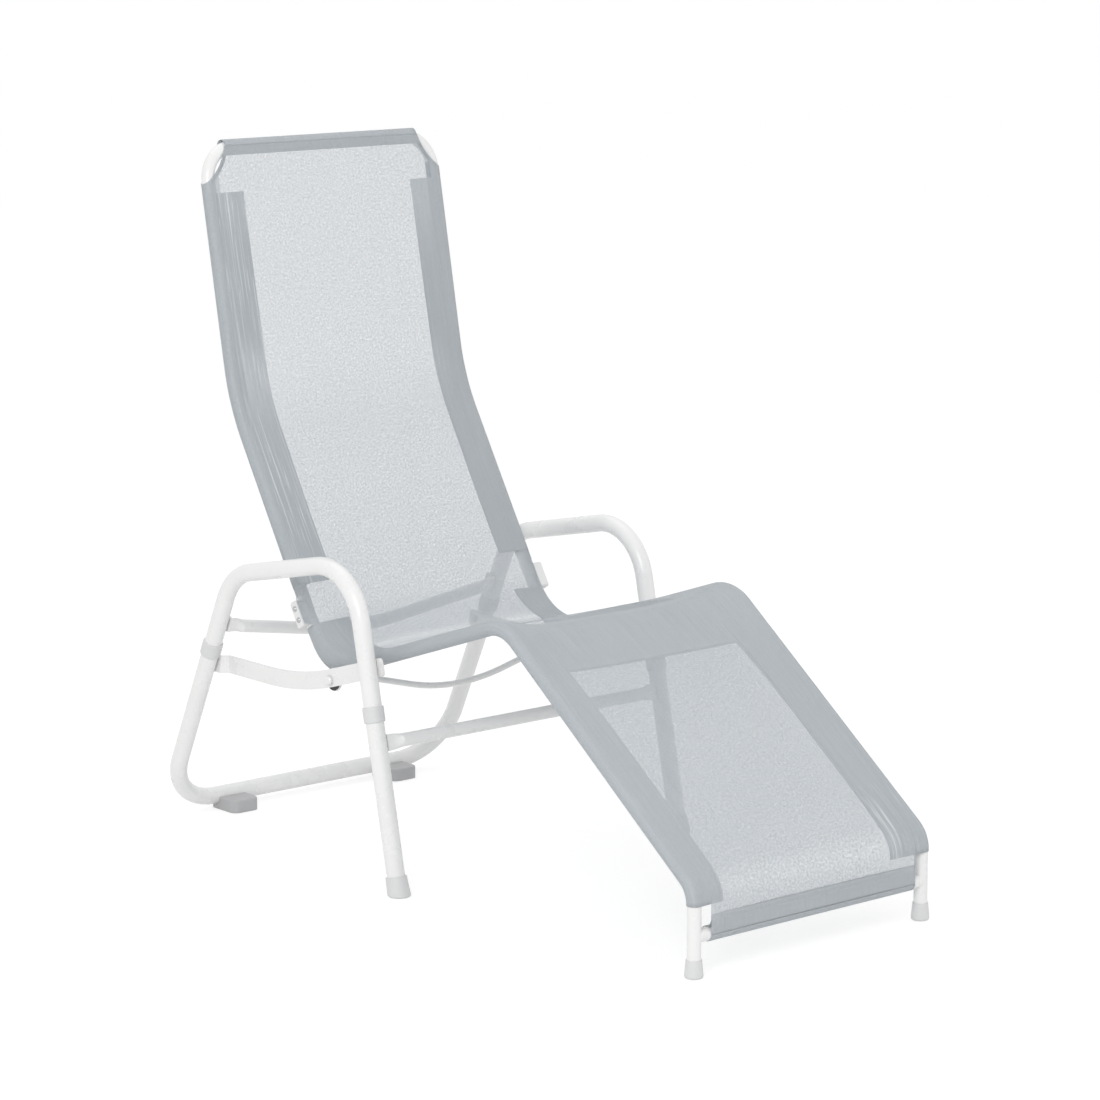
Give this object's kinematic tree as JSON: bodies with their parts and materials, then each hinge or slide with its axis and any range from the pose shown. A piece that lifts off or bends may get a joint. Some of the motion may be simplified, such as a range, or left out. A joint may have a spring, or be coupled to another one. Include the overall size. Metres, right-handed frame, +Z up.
{
  "type": "pool lounger",
  "caption": "Tilting pool lounger with a mesh sling on a bent tube frame, hung in a white tube stand with looped armrests.",
  "frame": {"origin": "on the floor, midway between the foot end and the head end, on the centre plane", "axes": "+Z up, +Y towards the head end, -Y towards the foot end, +X to the right seen from the foot end"},
  "size_m": [0.6486, 1.3231, 1.1779],
  "materials": {
    "white_tube": "satin powder coat",
    "mesh": "open weave",
    "light_plastic": "moulded",
    "grey_plastic": "moulded",
    "white_plastic": "moulded",
    "black_plastic": "moulded",
    "steel": "plated"
  },
  "bodies": {
    "stand": {"rear_frame": "white_tube", "left_armrest": "white_tube", "right_armrest": "white_tube", "left_front_leg": "white_tube", "right_front_leg": "white_tube", "left_side_strap": "white_tube", "right_side_strap": "white_tube", "front_crossbar": "white_tube", "rear_crossbar": "white_tube", "left_front_sleeve": "light_plastic", "right_front_sleeve": "light_plastic", "left_rear_sleeve": "light_plastic", "right_rear_sleeve": "light_plastic", "left_front_foot_cap": "light_plastic", "right_front_foot_cap": "light_plastic", "left_floor_block": "grey_plastic", "right_floor_block": "grey_plastic", "left_pivot_bush": "light_plastic", "right_pivot_bush": "light_plastic", "crossbar_screws": "steel", "strap_screws": "steel"},
    "seat": {"back_bow": "white_tube", "left_seat_rail": "white_tube", "right_seat_rail": "white_tube", "left_rail_spigot": "steel", "right_rail_spigot": "steel", "foot_bar": "white_tube", "left_foot_cap": "light_plastic", "right_foot_cap": "light_plastic", "stretcher": "white_tube", "left_pivot_lug": "white_tube", "right_pivot_lug": "white_tube", "left_pivot_disc": "white_plastic", "right_pivot_disc": "white_plastic", "left_pivot_washer": "black_plastic", "right_pivot_washer": "black_plastic", "pivot_bolts": "steel", "left_stop_pad": "white_plastic", "right_stop_pad": "white_plastic", "pad_screws": "steel", "sling": "mesh"}
  },
  "joints": [
    {"name": "seat_tilt", "type": "hinge", "parent": "stand", "child": "seat", "pos_m": [0, 0.2053, 0.316], "axis": [-1, 0, 0], "range_deg": [0, 33]}
  ]
}
